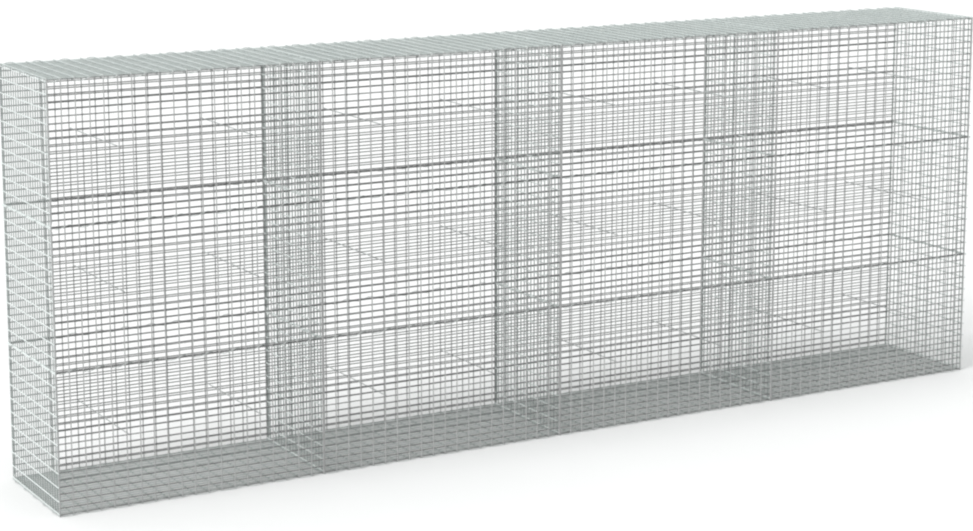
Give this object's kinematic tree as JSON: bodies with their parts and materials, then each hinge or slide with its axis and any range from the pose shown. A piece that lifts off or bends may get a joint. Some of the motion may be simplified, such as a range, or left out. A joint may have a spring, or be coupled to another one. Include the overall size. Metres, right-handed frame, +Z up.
{
  "type": "gabion wall",
  "caption": "Empty welded wire mesh gabion wall: laced panels form open bays in stacked tiers, with partitions, base, lid and cross ties, ready for stone fill.",
  "frame": {"origin": "middle of the underside, on the level ground", "axes": "+X along the wall to its right end, front towards -Y, +Z up"},
  "size_m": [4.008, 0.5166, 1.5083],
  "materials": {
    "mesh": "satin",
    "binder": "satin",
    "tie": "satin"
  },
  "bodies": {
    "root": {"back_tier_1_bay_1": "mesh", "back_tier_1_bay_2": "mesh", "back_tier_1_bay_3": "mesh", "back_tier_1_bay_4": "mesh", "back_tier_2_bay_1": "mesh", "back_tier_2_bay_2": "mesh", "back_tier_2_bay_3": "mesh", "back_tier_2_bay_4": "mesh", "back_tier_3_bay_1": "mesh", "back_tier_3_bay_2": "mesh", "back_tier_3_bay_3": "mesh", "back_tier_3_bay_4": "mesh", "base_bay_1": "mesh", "base_bay_2": "mesh", "base_bay_3": "mesh", "base_bay_4": "mesh", "cross_binders": "binder", "front_tier_1_bay_1": "mesh", "front_tier_1_bay_2": "mesh", "front_tier_1_bay_3": "mesh", "front_tier_1_bay_4": "mesh", "front_tier_2_bay_1": "mesh", "front_tier_2_bay_2": "mesh", "front_tier_2_bay_3": "mesh", "front_tier_2_bay_4": "mesh", "front_tier_3_bay_1": "mesh", "front_tier_3_bay_2": "mesh", "front_tier_3_bay_3": "mesh", "front_tier_3_bay_4": "mesh", "left_end": "mesh", "lid_bay_1": "mesh", "lid_bay_2": "mesh", "lid_bay_3": "mesh", "lid_bay_4": "mesh", "long_binders": "binder", "partition_1": "mesh", "partition_2": "mesh", "partition_3": "mesh", "right_end": "mesh", "ties_tier_1": "tie", "ties_tier_2": "tie", "ties_tier_3": "tie", "upright_binders": "binder"}
  },
  "joints": []
}
